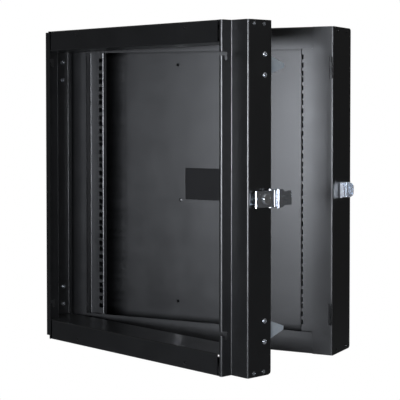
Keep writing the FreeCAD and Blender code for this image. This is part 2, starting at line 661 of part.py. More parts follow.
# ---- draw latch -------------------------------------------------------------------------------------
def latch_base():
    """Channel riveted to the side wall. Two ears at its rear carry the fulcrum pin; their necks
    stand in front of the pin, clear of the lever's roll as it turns."""
    half = LATCH_BASE_HEIGHT / 2
    rear = FRAME_REAR - LATCH_BASE_END
    cam_front = LOCK_Y - CAM_LENGTH
    pieces = [block(HALF_W, HALF_W + LATCH_SHEET, rear - LATCH_BASE_LENGTH, rear, -half, half)]
    for side in ENDS:
        inner, outer = side * (half - LATCH_SHEET), side * half
        pieces.append(block(HALF_W, HALF_W + LATCH_BASE_WALL, cam_front, FULCRUM_Y - SIDE_PLAY,
                            inner, outer))
        pieces.append(block(HALF_W, HALF_W + CAM_WALL, cam_front, cam_front + CAM_WALL_LENGTH,
                            inner, outer))
        pieces.append(rod(EAR_RADIUS, V(FULCRUM_X, FULCRUM_Y, inner), V(FULCRUM_X, FULCRUM_Y, outer)))
        pieces.append(block(HALF_W, FULCRUM_X, FULCRUM_Y - EAR_RADIUS, FULCRUM_Y - SIDE_PLAY,
                            inner, outer))
    # window in the lower wall: the locked cam lies in it and cannot lift
    cam_top = LEVER_SKIN_X - LOCK_BARREL_DEPTH - SIDE_PLAY
    window_rear = LOCK_Y + CAM_WIDTH / 2 + 1
    window = block(cam_top - CAM_THICKNESS - SIDE_PLAY, cam_top + SIDE_PLAY,
                   window_rear - CAM_WINDOW_LENGTH, window_rear, -half - 1, -half + LATCH_SHEET + 1)
    bore = rod(FULCRUM_RADIUS + FULCRUM_FIT, V(FULCRUM_X, FULCRUM_Y, -half - 1),
               V(FULCRUM_X, FULCRUM_Y, half + 1))
    rivet_holes = [drill_x(RIVET_HOLE, y, z, HALF_W - 1, HALF_W + 5) for y, z in LATCH_RIVETS]
    return cut_all(fuse_all(pieces), [window, bore] + rivet_holes)


def fulcrum_pin():
    """Plain pin through the base's ears and the lever's flanges, flush outside."""
    half = LEVER_HEIGHT / 2
    return rod(FULCRUM_RADIUS, V(FULCRUM_X, FULCRUM_Y, -half), V(FULCRUM_X, FULCRUM_Y, half))


def latch_lever():
    """Channel-section lever: flared grip in front, lock hole, rear end rolled over the fulcrum."""
    half = LEVER_HEIGHT / 2
    front = FULCRUM_Y - LEVER_LENGTH
    skin = [(LEVER_SKIN_X, FULCRUM_Y - EAR_RADIUS), (LEVER_SKIN_X, front),
            (LEVER_SKIN_X + GRIP_RISE, front - GRIP_LENGTH)]
    face = folded_face(skin, LATCH_SHEET, lambda p: V(p[0], p[1], -half), [GRIP_BEND])
    plate = face.extrude(V(0, 0, LEVER_HEIGHT))
    roll = rod(LEVER_ROLL, V(FULCRUM_X, FULCRUM_Y, -half), V(FULCRUM_X, FULCRUM_Y, half))
    roll = roll.cut(rod(LEVER_ROLL - LATCH_SHEET, V(FULCRUM_X, FULCRUM_Y, -half - 1),
                        V(FULCRUM_X, FULCRUM_Y, half + 1)))
    roll = roll.common(fuse_all([
        block(FULCRUM_X, FULCRUM_X + LEVER_ROLL + 1, FULCRUM_Y, FULCRUM_Y + LEVER_ROLL + 1, -half, half),
        block(LEVER_SKIN_X - LATCH_SHEET, FULCRUM_X + LEVER_ROLL + 1, FULCRUM_Y - LEVER_ROLL,
              FULCRUM_Y, -half, half)]))
    pieces = [plate, roll]
    for side in ENDS:
        inner, outer = side * (half - LATCH_SHEET), side * half
        pieces.append(rod(LEVER_ROLL, V(FULCRUM_X, FULCRUM_Y, inner), V(FULCRUM_X, FULCRUM_Y, outer)))
        pieces.append(block(FULCRUM_X - LEVER_FLANGE_DROP, LEVER_SKIN_X - LATCH_SHEET / 2,
                            front + LEVER_FLANGE_INSET, FULCRUM_Y, inner, outer))
    return cut_all(fuse_all(pieces), [
        rod(FULCRUM_RADIUS + FULCRUM_FIT, V(FULCRUM_X, FULCRUM_Y, -half - 1),
            V(FULCRUM_X, FULCRUM_Y, half + 1)),
        rod(CLAW_ROD_RADIUS + FULCRUM_FIT, V(ROD_X, ROD_Y, -half - 1), V(ROD_X, ROD_Y, half + 1)),
        drill_x(LOCK_BARREL_RADIUS, LOCK_Y, 0, FULCRUM_X, LEVER_SKIN_X + 9)])


def lock_barrel():
    """Chromed ring outside the lever and the cylinder body under it, bored for the plug."""
    under = LEVER_SKIN_X - LOCK_BARREL_DEPTH
    top = LEVER_SKIN_X + LOCK_RING_RISE
    ring = rod(LOCK_RING_RADIUS, V(LEVER_SKIN_X, LOCK_Y, 0), V(top, LOCK_Y, 0))
    edge = max(ring.Edges, key=lambda e: e.BoundBox.XMin)
    ring = ring.makeFillet(LOCK_RING_FILLET, [edge])
    body = rod(LOCK_BARREL_RADIUS, V(under, LOCK_Y, 0), V(top - LOCK_RING_FILLET, LOCK_Y, 0))
    barrel = fuse_all([ring, body])
    return barrel.cut(drill_x(LOCK_PLUG_RADIUS + LOCK_FIT, LOCK_Y, 0, under - 1, top + 1))


def lock_plug():
    """Turning core with its keyway, and the cam riveted to its inner end."""
    under = LEVER_SKIN_X - LOCK_BARREL_DEPTH
    face = LEVER_SKIN_X + LOCK_RING_RISE - LOCK_PLUG_SINK
    core = rod(LOCK_PLUG_RADIUS, V(under - SIDE_PLAY, LOCK_Y, 0), V(face, LOCK_Y, 0))
    keyway = block(face - KEYWAY_DEPTH, face + 1, LOCK_Y - KEYWAY_LENGTH / 2,
                   LOCK_Y + KEYWAY_LENGTH / 2, -KEYWAY_WIDTH / 2, KEYWAY_WIDTH / 2)
    return core.cut(keyway)


def lock_cam():
    """Flat cam under the core. It points forwards when unlocked and down when locked."""
    top = LEVER_SKIN_X - LOCK_BARREL_DEPTH - SIDE_PLAY
    bottom = top - CAM_THICKNESS
    arm = block(bottom, top, LOCK_Y - CAM_LENGTH + CAM_WIDTH / 2, LOCK_Y, -CAM_WIDTH / 2, CAM_WIDTH / 2)
    ends = [rod(CAM_WIDTH / 2, V(bottom, y, 0), V(top, y, 0))
            for y in (LOCK_Y, LOCK_Y - CAM_LENGTH + CAM_WIDTH / 2)]
    return fuse_all([arm] + ends)


def claw_half_height():
    return LEVER_HEIGHT / 2 + SIDE_PLAY + LATCH_SHEET


def claw_rod():
    """Rod across the lever that the claw's arms turn on, headed outside the arms."""
    half = claw_half_height()
    low, high = V(ROD_X, ROD_Y, -half), V(ROD_X, ROD_Y, half)
    return fuse_all([rod(CLAW_ROD_RADIUS, low, high),
                     dome(CLAW_ROD_HEAD, CLAW_ROD_HEAD_RISE, high, V(0, 0, 1)),
                     dome(CLAW_ROD_HEAD, CLAW_ROD_HEAD_RISE, low, V(0, 0, -1))])


def latch_claw():
    """Claw: two arms on the rod, a wide root with a beaded edge, and a plate whose end turns in."""
    half = claw_half_height()
    root = ROD_Y + CLAW_ROOT_FROM_ROD
    root_end = root + CLAW_ROOT_LENGTH
    skin = [(CLAW_WEB_X - CLAW_LIP, CLAW_TIP_Y), (CLAW_WEB_X, CLAW_TIP_Y), (CLAW_WEB_X, root)]
    face = folded_face(skin, LATCH_SHEET, lambda p: V(p[0], p[1], -half), [BEND])
    web = face.extrude(V(0, 0, 2 * half))
    outline = [(root - 1, half), (root_end, half), (root_end + CLAW_SHOULDER_SLOPE, CLAW_PLATE_HALF),
               (CLAW_TIP_Y + 1, CLAW_PLATE_HALF)]
    outline += [(y, -z) for y, z in reversed(outline)]
    ring = [V(0, y, z) for y, z in outline]
    web = web.common(Part.Face(Part.makePolygon(ring + [ring[0]])).extrude(V(WIDTH, 0, 0)))
    middle = CLAW_WEB_X - LATCH_SHEET / 2
    pieces = [web, rod(CLAW_ROOT_BEAD, V(middle, root, -half), V(middle, root, half))]
    for side in ENDS:
        inner, outer = side * (half - LATCH_SHEET), side * half
        flat = [(ROD_X, ROD_Y - CLAW_ARM), (ROD_X - CLAW_ARM, ROD_Y), (ROD_X + 2, root_end - CLAW_ARM),
                (middle, root_end), (middle, root), (ROD_X + CLAW_ARM, ROD_Y)]
        corners = [V(x, y, inner) for x, y in flat]
        arm = Part.Face(Part.makePolygon(corners + [corners[0]])).extrude(V(0, 0, outer - inner))
        pieces.append(arm.fuse(rod(CLAW_ARM, V(ROD_X, ROD_Y, inner), V(ROD_X, ROD_Y, outer))))
    bore = rod(CLAW_ROD_RADIUS + FULCRUM_FIT, V(ROD_X, ROD_Y, -half - 1), V(ROD_X, ROD_Y, half + 1))
    return fuse_all(pieces).cut(bore)


# ---- writing the parts -----------------------------------------------------------------------------
def swung(shape):
    """Turn a piece of the shut frame to the open position."""
    turned = shape.copy()
    turned.rotate(V(HINGE_X, HINGE_Y, 0), V(0, 0, 1), -OPEN_ANGLE)
    return turned


def side_rivets(ys, grip):
    rivets = []
    for side in ENDS:
        for end in ENDS:
            for y in ys:
                rivets.append(rivet(V(side * HALF_W, y, end * RIVET_HEIGHT), V(side, 0, 0), grip))
    return rivets


def face_rivets():
    return [rivet(V(side * FACE_RIVET_X, COLLAR_FRONT, end * (HALF_H - FACE_RIVET_FROM_END)),
                  V(0, -1, 0), SHEET) for side in ENDS for end in ENDS]


def tongue_screws():
    return [screw(V(HALF_W, FRAME_FIXING_Y, z), V(1, 0, 0), SCREW_LENGTH) for z in fixing_heights()]


def tongue_nuts():
    seat = HALF_W - SHEET - TONGUE_SHEET
    return [nut(V(seat, FRAME_FIXING_Y, z), V(-1, 0, 0)) for z in fixing_heights()]


def build():
    right_rail = rail()
    beam_top = frame_beam(BEND)
    beam_bottom = mirrored_z(frame_beam(SOFT_BEND))
    fixed = {
        "box_top_panel": box_top_panel(),
        "box_bottom_panel": mirrored_z(box_top_panel()),
        "box_left_panel": box_left_panel(),
        "box_right_panel": box_right_panel(),
        "box_back_panel": box_back_panel(),
        "cable_entry_cover": cable_entry_cover(),
        "cable_cover_screws": Part.makeCompound(cover_screws()),
        "rail_left": mirrored_x(right_rail),
        "rail_right": right_rail,
        "box_side_rivets": Part.makeCompound(side_rivets(BOX_RIVETS_Y, 2 * SHEET)),
        "latch_keeper": keeper(),
        "keeper_rivets": Part.makeCompound([rivet(V(HALF_W + LATCH_SHEET, y, z), V(1, 0, 0),
                                                  SHEET + LATCH_SHEET) for y, z in KEEPER_RIVETS]),
        "hinge_box_screws": Part.makeCompound(hinge_screws(BOX_FIXING_Y)),
        "hinge_box_nuts": Part.makeCompound(hinge_nuts(BOX_FIXING_Y)),
    }
    moving = {
        "frame_left_post": mirrored_x(frame_post()),
        "frame_right_post": frame_right_post(),
        "frame_top_beam": beam_top,
        "frame_bottom_beam": beam_bottom,
        "frame_side_rivets": Part.makeCompound(side_rivets(FRAME_RIVETS_Y, 2 * SHEET)),
        "frame_face_rivets": Part.makeCompound(face_rivets()),
        "hinge_frame_screws": Part.makeCompound(hinge_screws(FRAME_FIXING_Y)),
        "hinge_frame_nuts": Part.makeCompound(hinge_nuts(FRAME_FIXING_Y)),
        "tongue_screws": Part.makeCompound(tongue_screws()),
        "tongue_nuts": Part.makeCompound(tongue_nuts()),
        "latch_base": latch_base(),
        "latch_base_rivets": Part.makeCompound([rivet(V(HALF_W + LATCH_SHEET, y, z), V(1, 0, 0),
                                                      SHEET + LATCH_SHEET) for y, z in LATCH_RIVETS]),
        "latch_fulcrum_pin": fulcrum_pin(),
        "latch_lever": latch_lever(),
        "lock_barrel": lock_barrel(),
        "lock_plug": lock_plug(),
        "lock_cam": lock_cam(),
        "claw_rod": claw_rod(),
        "latch_claw": latch_claw(),
    }
    for end, name in zip(ENDS, ("upper", "lower")):
        fixed["hinge_box_leaf_" + name] = hinge_leaf(end, 1, (1,))
        fixed["hinge_pin_" + name] = hinge_pin(end)
        moving["hinge_frame_leaf_" + name] = hinge_leaf(end, -1, (0, 2))
        moving["tongue_" + name] = tongue(end)
    parts = dict(fixed)
    for name, shape in moving.items():
        parts[name] = swung(shape)
    return parts


os.makedirs("parts", exist_ok=True)
for name, shape in build().items():
    good = shape.isValid() and all(solid.isClosed() and solid.Volume > 0 for solid in shape.Solids)
    print(f"{name:26s} solids {len(shape.Solids):3d}  volume {shape.Volume:12.1f}  valid {good}")
    shape.exportStep(f"parts/{name}.step")
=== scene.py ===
# %% [markdown]
# # A wall cabinet in black sheet steel
# The cabinet has a shallow wall box, a swing frame hinged on its left, and a small draw
# latch. The load-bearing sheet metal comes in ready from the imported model, and each sheet
# gets its finish here. The small hardware that a maker would notice, such as cross-recess
# screws and blind rivets, is built in this lesson from formulas.

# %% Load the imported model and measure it
import json
import math

import bpy
import numpy as np
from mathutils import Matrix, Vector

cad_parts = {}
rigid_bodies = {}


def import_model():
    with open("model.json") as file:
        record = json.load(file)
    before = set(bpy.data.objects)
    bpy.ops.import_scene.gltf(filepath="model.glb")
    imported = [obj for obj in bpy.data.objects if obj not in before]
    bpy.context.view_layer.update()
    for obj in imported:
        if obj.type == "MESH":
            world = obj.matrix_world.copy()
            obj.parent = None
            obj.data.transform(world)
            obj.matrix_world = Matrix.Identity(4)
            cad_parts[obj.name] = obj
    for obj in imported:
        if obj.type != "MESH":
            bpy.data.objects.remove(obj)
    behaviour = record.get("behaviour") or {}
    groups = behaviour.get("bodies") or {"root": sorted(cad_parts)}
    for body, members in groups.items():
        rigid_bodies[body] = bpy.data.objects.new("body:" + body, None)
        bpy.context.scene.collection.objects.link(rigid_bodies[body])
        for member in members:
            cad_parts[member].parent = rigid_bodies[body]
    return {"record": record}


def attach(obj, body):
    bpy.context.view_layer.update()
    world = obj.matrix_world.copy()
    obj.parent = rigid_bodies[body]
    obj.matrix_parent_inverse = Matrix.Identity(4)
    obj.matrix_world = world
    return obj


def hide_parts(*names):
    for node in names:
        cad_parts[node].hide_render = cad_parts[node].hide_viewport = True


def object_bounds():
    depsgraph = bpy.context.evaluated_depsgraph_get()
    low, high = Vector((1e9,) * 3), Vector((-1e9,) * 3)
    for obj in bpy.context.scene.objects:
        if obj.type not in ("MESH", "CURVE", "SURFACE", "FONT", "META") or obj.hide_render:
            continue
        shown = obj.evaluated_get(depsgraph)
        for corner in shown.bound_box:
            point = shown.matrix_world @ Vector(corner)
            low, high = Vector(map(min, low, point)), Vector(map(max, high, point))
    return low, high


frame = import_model()
cad_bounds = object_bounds()
print("box of the whole cabinet:", cad_bounds)

# %% [markdown]
# ## How far the frame stands open
# Everything on the swing frame is turned about its hinge. The hinge's place and line are in
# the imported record, and its closed end is 20 degrees back from rest. With these, a piece can
# be described on the shut frame, in plain straight coordinates, and then swung open.

# %% Swing a point with the frame
joints = {joint["name"]: joint for joint in frame["record"]["behaviour"]["joints"]}
hinge = np.array(joints["frame_swing"]["pos_m"])
open_angle = math.radians(-joints["frame_swing"]["range_deg"][0])


def swing(points):
    """Points of the shut frame, turned clockwise (seen from above) about the hinge line."""
    turn = np.array([[math.cos(open_angle), math.sin(open_angle), 0],
                     [-math.sin(open_angle), math.cos(open_angle), 0],
                     [0, 0, 1]])
    return (np.asarray(points) - hinge) @ turn.T + hinge


print("hinge at", hinge, "open by", round(math.degrees(open_angle), 1), "degrees")

# %% [markdown]
# ## Shared effects as node groups
# Powder coat is sprayed dry and baked, so it levels into a skin with a fine pebbled grain.
# Dust and handling change its gloss in slow clouds. Both effects are used by more than one
# material, so each is a group with its own inputs. A group hands out only numbers and
# heights that change over the surface; the Principled shader stays in the material.


# %% Build node groups for grain and for cloudy variation
def new_group(name, inputs, outputs):
    """An empty shader group with float inputs (name, default) and float outputs."""
    group = bpy.data.node_groups.new(name, "ShaderNodeTree")
    for label, default in inputs:
        socket = group.interface.new_socket(label, in_out="INPUT", socket_type="NodeSocketFloat")
        socket.default_value = default
    for label in outputs:
        group.interface.new_socket(label, in_out="OUTPUT", socket_type="NodeSocketFloat")
    entry = group.nodes.new("NodeGroupInput")
    leave = group.nodes.new("NodeGroupOutput")
    place = group.nodes.new("ShaderNodeTexCoord")
    return group, entry, leave, place


def build_grain_group():
    """Height of a pebbled skin: smooth cells of one size plus a finer noise over them."""
    group, entry, leave, place = new_group("pebbled_grain", [("Cells per metre", 900.0),
                                                             ("Fine share", 0.35)], ["Height"])
    cells = group.nodes.new("ShaderNodeTexVoronoi")
    cells.feature = "SMOOTH_F1"
    fine = group.nodes.new("ShaderNodeTexNoise")
    double = group.nodes.new("ShaderNodeMath")
    double.operation = "MULTIPLY"
    double.inputs[1].default_value = 2.3
    share = group.nodes.new("ShaderNodeMix")
    link = group.links.new
    link(place.outputs["Object"], cells.inputs["Vector"])
    link(place.outputs["Object"], fine.inputs["Vector"])
    link(entry.outputs["Cells per metre"], cells.inputs["Scale"])
    link(entry.outputs["Cells per metre"], double.inputs[0])
    link(double.outputs[0], fine.inputs["Scale"])
    link(entry.outputs["Fine share"], share.inputs["Factor"])
    link(cells.outputs["Distance"], share.inputs["A"])
    link(fine.outputs["Fac"], share.inputs["B"])
    link(share.outputs["Result"], leave.inputs["Height"])
    return group


def build_cloud_group():
    """A value between Low and High that drifts over the piece in soft clouds."""
    group, entry, leave, place = new_group("soft_clouds", [("Clouds per metre", 6.0),
                                                           ("Low", 0.4), ("High", 0.5)], ["Value"])
    noise = group.nodes.new("ShaderNodeTexNoise")
    noise.inputs["Detail"].default_value = 5.0
    noise.inputs["Roughness"].default_value = 0.62
    spread = group.nodes.new("ShaderNodeMapRange")
    spread.inputs["From Min"].default_value = 0.3
    spread.inputs["From Max"].default_value = 0.7
    link = group.links.new
    link(place.outputs["Object"], noise.inputs["Vector"])
    link(entry.outputs["Clouds per metre"], noise.inputs["Scale"])
    link(noise.outputs["Fac"], spread.inputs["Value"])
    link(entry.outputs["Low"], spread.inputs["To Min"])
    link(entry.outputs["High"], spread.inputs["To Max"])
    link(spread.outputs["Result"], leave.inputs["Value"])
    return group


grain_group = build_grain_group()
cloud_group = build_cloud_group()
print("groups:", [g.name for g in bpy.data.node_groups])

# %% [markdown]
# ## Finishes
# A finish is a small recipe: a colour that drifts between two near shades, a roughness that
# drifts between two values, and a bump from the grain group. The same helper builds black
# powder coat, matt paint, zinc plate and chrome, each with its own numbers. The guide tongues
# get a duller zinc than the latch, because a sheared and passivated plate scatters light,
# and painted rivet heads are smoother than the sheet round them, so they catch a small glint.


# %% Mix a finish from a colour, two roughness values and a grain
def finish(name, dark, pale, rough, metal=0.0, grain=900.0, bump=0.08, depth=0.00004, clouds=6.0,
           specular=0.5):
    """A Principled material; dark and pale are the ends of its colour drift."""
    gloss_clouds_finer = 3.1
    material = bpy.data.materials.new(name)
    material.use_nodes = True
    nodes, link = material.node_tree.nodes, material.node_tree.links.new
    shader = nodes["Principled BSDF"]
    shader.inputs["Metallic"].default_value = metal
    shader.inputs["Specular IOR Level"].default_value = specular
    shade = nodes.new("ShaderNodeGroup")
    shade.node_tree = cloud_group
    shade.inputs["Clouds per metre"].default_value = clouds
    shade.inputs["Low"].default_value = 0.0
    shade.inputs["High"].default_value = 1.0
    mix = nodes.new("ShaderNodeMix")
    mix.data_type = "RGBA"
    mix.inputs["A"].default_value = (*dark, 1)
    mix.inputs["B"].default_value = (*pale, 1)
    link(shade.outputs["Value"], mix.inputs["Factor"])
    link(mix.outputs["Result"], shader.inputs["Base Color"])
    gloss = nodes.new("ShaderNodeGroup")
    gloss.node_tree = cloud_group
    gloss.inputs["Clouds per metre"].default_value = clouds * gloss_clouds_finer
    gloss.inputs["Low"].default_value, gloss.inputs["High"].default_value = rough
    link(gloss.outputs["Value"], shader.inputs["Roughness"])
    skin = nodes.new("ShaderNodeGroup")
    skin.node_tree = grain_group
    skin.inputs["Cells per metre"].default_value = grain
    lift = nodes.new("ShaderNodeBump")
    lift.inputs["Strength"].default_value = bump
    lift.inputs["Distance"].default_value = depth
    link(skin.outputs["Height"], lift.inputs["Height"])
    link(lift.outputs["Normal"], shader.inputs["Normal"])
    return material


black_coat = finish("black powder coat", (0.0022, 0.0023, 0.0025), (0.0032, 0.0034, 0.0038),
                    (0.31, 0.36), bump=0.45, depth=0.00012, specular=0.9)
matt_black = finish("matt black paint", (0.005, 0.005, 0.0054), (0.0065, 0.0065, 0.007),
                    (0.66, 0.74), specular=0.2)
zinc = finish("zinc plate", (0.60, 0.64, 0.70), (0.70, 0.72, 0.75), (0.16, 0.28), metal=1.0,
              grain=700.0, bump=0.06, clouds=60.0)
chrome = finish("chrome plate", (0.74, 0.75, 0.77), (0.80, 0.81, 0.82), (0.06, 0.12), metal=1.0,
                bump=0.01, clouds=40.0)
dull_zinc = finish("dull zinc plate", (0.66, 0.74, 0.80), (0.78, 0.83, 0.86), (0.56, 0.66),
                   metal=1.0, grain=700.0, bump=0.06, clouds=50.0)
shiny_black = finish("shiny black rivets", (0.004, 0.004, 0.0044), (0.006, 0.006, 0.0064),
                     (0.10, 0.16), bump=0.02, specular=1.0)
finish_of = {"black_coat": black_coat, "matt_black": matt_black, "zinc": zinc, "chrome": chrome}

dull_nodes = ("tongue_upper", "tongue_lower")
for part in frame["record"]["subparts"]:
    node = bpy.data.objects[part["node"]]
    node.data.materials.clear()
    dull = part["node"] in dull_nodes
    node.data.materials.append(dull_zinc if dull else finish_of[part["material_slot"]])
print("finishes:", ", ".join(m.name for m in (*finish_of.values(), dull_zinc, shiny_black)))

# %% [markdown]
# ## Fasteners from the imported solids
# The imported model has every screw, nut and rivet at its real place, as a plain solid. Each
# node of fasteners is first taken apart into its separate solids. From one solid and the
# direction it points in come its centre line, length and radius, so the finer fastener made
# here fits exactly where the plain one was.


# %% Take a node apart into its solids
def solids_of(node):
    """The vertices of each separate solid in a node.

    Points closer than 0.01 mm count as one. Every point starts with its own label, and each
    triangle spreads its lowest label to its corners until nothing changes.
    """
    mesh = bpy.data.objects[node].data
    spots = np.empty(len(mesh.vertices) * 3, np.float32)
    mesh.vertices.foreach_get("co", spots)
    spots = spots.reshape(-1, 3).astype(float)
    mesh.calc_loop_triangles()
    corners = np.empty(len(mesh.loop_triangles) * 3, np.int32)
    mesh.loop_triangles.foreach_get("vertices", corners)
    steps_per_metre = 1e5
    grid = np.round(spots * steps_per_metre).astype(np.int64)
    _, merged = np.unique(grid, axis=0, return_inverse=True)
    merged = merged.reshape(-1)
    triangles = merged[corners.reshape(-1, 3)]
    labels = np.arange(merged.max() + 1)
    while True:
        lowest = labels[triangles].min(axis=1)
        spread = labels.copy()
        for corner in range(3):
            np.minimum.at(spread, triangles[:, corner], lowest)
        if np.array_equal(spread, labels):
            break
        labels = spread
    return [spots[labels[merged] == label] for label in np.unique(labels)]


def measure_along(points, direction):
    """Centre of the far end, length and largest radius of a solid along a direction."""
    along = points @ direction
    across = points - np.outer(along, direction)
    middle = (across.max(axis=0) + across.min(axis=0)) / 2
    radius = np.linalg.norm(across - middle, axis=1).max()
    return middle + direction * along.max(), along.max() - along.min(), radius


print("solids in the tongue screws:", len(solids_of("tongue_screws")))

# %% [markdown]
# ## Turned shapes on a grid
# A screw, a rivet and a nut are all turned about a line. One grid of angle and profile step
# serves them all. The radius may also change with the angle, which gives a nut its six
# flats, and the height may too, which presses the cross into a screw head.


# %% Turn a profile into a closed skin
def turned_skin(radius, height):
    """Points and faces of a skin closed at both poles.

    radius and height are arrays (steps, angles). A point is (r cos a, r sin a, h). The first
    and last step are rings; a single point at each one's mean height closes it.
    """
    steps, angles = radius.shape
    turn = np.linspace(0, 2 * math.pi, angles, endpoint=False)
    ring = np.stack([radius * np.cos(turn), radius * np.sin(turn), height], axis=-1)
    poles = np.array([[0, 0, height[0].mean()], [0, 0, height[-1].mean()]])
    points = np.concatenate([ring.reshape(-1, 3), poles])
    k, a = np.meshgrid(np.arange(steps - 1), np.arange(angles), indexing="ij")
    b = (a + 1) % angles
    quads = np.stack([k * angles + a, (k + 1) * angles + a, (k + 1) * angles + b, k * angles + b],
                     axis=-1).reshape(-1, 4)
    around = np.arange(angles)
    after = (around + 1) % angles
    top = np.stack([np.full(angles, steps * angles), around, after], axis=-1)
    low = (steps - 1) * angles
    bottom = np.stack([np.full(angles, steps * angles + 1), low + after, low + around], axis=-1)
    return points, quads.tolist() + top.tolist() + bottom.tolist()


def stand_on(points, tip, direction):
    """Local points, whose +Z points out of the head and whose top is at 0, moved to tip."""
    out = np.asarray(direction, float)
    up = np.array([0.0, 0.0, 1.0]) if abs(out[2]) < 0.9 else np.array([1.0, 0.0, 0.0])
    side = np.cross(up, out)
    side /= np.linalg.norm(side)
    return tip + points @ np.stack([side, np.cross(out, side), out])


SHARP_FROM = math.radians(38)


def make_piece(name, skins, body, material, stands_for):
    """One object from several skins (points, faces), riding a body for one CAD node."""
    points, faces, start = [], [], 0
    for skin_points, skin_faces in skins:
        points.append(skin_points)
        faces += [[start + index for index in face] for face in skin_faces]
        start += len(skin_points)
    mesh = bpy.data.meshes.new(name)
    mesh.from_pydata(np.concatenate(points).tolist(), [], faces)
    mesh.polygons.foreach_set("use_smooth", np.ones(len(mesh.polygons), bool))
    mesh.set_sharp_from_angle(angle=SHARP_FROM)
    mesh.materials.append(material)
    piece = bpy.data.objects.new(name, mesh)
    bpy.context.scene.collection.objects.link(piece)
    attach(piece, body)
    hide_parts(stands_for)
    print(f"{name}: {len(skins)} pieces, {len(faces)} faces")
    return piece


# %% [markdown]
# ## Cross-recess screws
# A pan head is a shallow pillow on a short straight rim. The driver's cross is a dent whose
# depth is full where a point is close to either arm's centre line, and fades at its edge.
# The thread is cut only where the screw comes out of its nut: its radius rises and falls
# once per pitch, and shifts by one pitch per turn, which makes a true helix.


# %% Build the screws
def smooth_step(value, low, high):
    """0 below low, 1 above high, and 3t² - 2t³ between."""
    t = np.clip((value - low) / (high - low), 0, 1)
    return t * t * (3 - 2 * t)


def screw_skin(length, head_radius, shank_radius=0.0025, head_rise=0.0026, angles=48):
    """Pan head with a cross, plain shank and a threaded end, all on one grid.

    Head: h = -rim_drop (r / R)⁴. Cross: h falls by its depth inside two crossing bars.
    Thread: r = shank - cut |2 frac(h / pitch + a / 2 pi) - 1|.
    """
    turn = np.linspace(0, 2 * math.pi, angles, endpoint=False)[None, :]
    share = np.linspace(0.04, 1, 26)[:, None]
    top_r = head_radius * share + 0 * turn
    x, y = np.abs(top_r * np.cos(turn)), np.abs(top_r * np.sin(turn))
    bar, reach = 0.00055, head_radius * 0.56
    arms = 1 - smooth_step(np.minimum(x, y), bar * 0.8, bar * 1.3)
    arms *= 1 - smooth_step(np.maximum(x, y), reach * 0.9, reach)
    top_h = -head_rise * 0.62 * share ** 4 - 0.0013 * arms * (1 - 0.5 * top_r / reach)
    pitch, cut, thread, tip_cone = 0.0008, 0.00028, 0.0036, 0.0004
    thread_top = -length + thread + tip_cone
    rim_r = np.array([head_radius, head_radius * 0.985, shank_radius, shank_radius])[:, None]
    rim_h = np.array([-head_rise * 0.9, -head_rise, -head_rise, thread_top])[:, None]
    rim_r, rim_h = rim_r + 0 * turn, rim_h + 0 * turn
    down = np.linspace(0, thread, 38)[:, None]
    wave = np.abs(2 * ((down / pitch + turn / (2 * math.pi)) % 1) - 1)
    thread_r = shank_radius - cut * wave
    thread_h = thread_top - down + 0 * turn
    end_r = np.full((1, angles), shank_radius * 0.72)
    end_h = np.full((1, angles), -length)
    return turned_skin(np.concatenate([top_r, rim_r, thread_r, end_r]),
                       np.concatenate([top_h, rim_h, thread_h, end_h]))


swing_right = np.array([math.cos(open_angle), -math.sin(open_angle), 0])
screw_nodes = {"tongue_screws": ("swing_frame", swing_right),
               "hinge_frame_screws": ("swing_frame", -swing_right),
               "hinge_box_screws": ("wall_box", np.array([-1.0, 0, 0]))}
first_turn, turn_step = 17, 31
for node, (body, out) in screw_nodes.items():
    skins = []
    for number, solid in enumerate(solids_of(node)):
        tip, length, radius = measure_along(solid, out)
        points, faces = screw_skin(length, radius)
        spin = math.radians(first_turn + turn_step * number)
        turned = points @ np.array([[math.cos(spin), math.sin(spin), 0],
                                    [-math.sin(spin), math.cos(spin), 0], [0, 0, 1]])
        skins.append((stand_on(turned, tip, out), faces))
    make_piece(node + "_detail", skins, body, zinc, node)

# %% [markdown]
# ## Hexagon nuts
# Across the flats a nut is a hexagon: its radius at angle a is the half width divided by the
# cosine of the angle to the nearest flat. Both ends are turned to a cone that takes off the
# corners, so the radius is the smaller of the hexagon's and the cone's.


# %% Build the nuts
def nut_skin(thickness, corner_radius, bore=0.0026, angles=72):
    """r = min(flat / cos(a to the nearest flat), cone(h)), down one side and back up the bore."""
    bevel_depth, bevel_slope = 0.0012, 1.9
    turn = np.linspace(0, 2 * math.pi, angles, endpoint=False)[None, :]
    flat = corner_radius * math.cos(math.pi / 6)
    hexagon = flat / np.cos((turn + math.pi / 6) % (math.pi / 3) - math.pi / 6)
    from_end = np.array([0, 0.1, 0.2, 0.3, 0.45, 0.45, 0.3, 0.2, 0.1, 0])[:, None] * bevel_depth
    cone = flat * 0.97 + from_end * bevel_slope
    heights = np.concatenate([-from_end[:5], -thickness + from_end[5:]]) + 0 * turn
    outer = np.minimum(hexagon, cone)
    bore_r = np.full((2, angles), bore)
    bore_h = np.array([[-thickness], [0.0]]) + 0 * turn
    radius, height = np.concatenate([outer, bore_r]), np.concatenate([heights, bore_h])
    steps = len(radius)
    points = np.stack([radius * np.cos(turn), radius * np.sin(turn), height], axis=-1)
    k, a = np.meshgrid(np.arange(steps), np.arange(angles), indexing="ij")
    after, b = (k + 1) % steps, (a + 1) % angles
    quads = np.stack([k * angles + a, after * angles + a, after * angles + b, k * angles + b],
                     axis=-1)
    return points.reshape(-1, 3), quads.reshape(-1, 4).tolist()


nut_nodes = {"tongue_nuts": ("swing_frame", -swing_right),
             "hinge_frame_nuts": ("swing_frame", swing_right),
             "hinge_box_nuts": ("wall_box", np.array([1.0, 0, 0]))}
for node, (body, out) in nut_nodes.items():
    skins = []
    for solid in solids_of(node):
        tip, thickness, radius = measure_along(solid, out)
        points, faces = nut_skin(thickness, radius)
        skins.append((stand_on(points, tip, out), faces))
    make_piece(node + "_detail", skins, body, zinc, node)

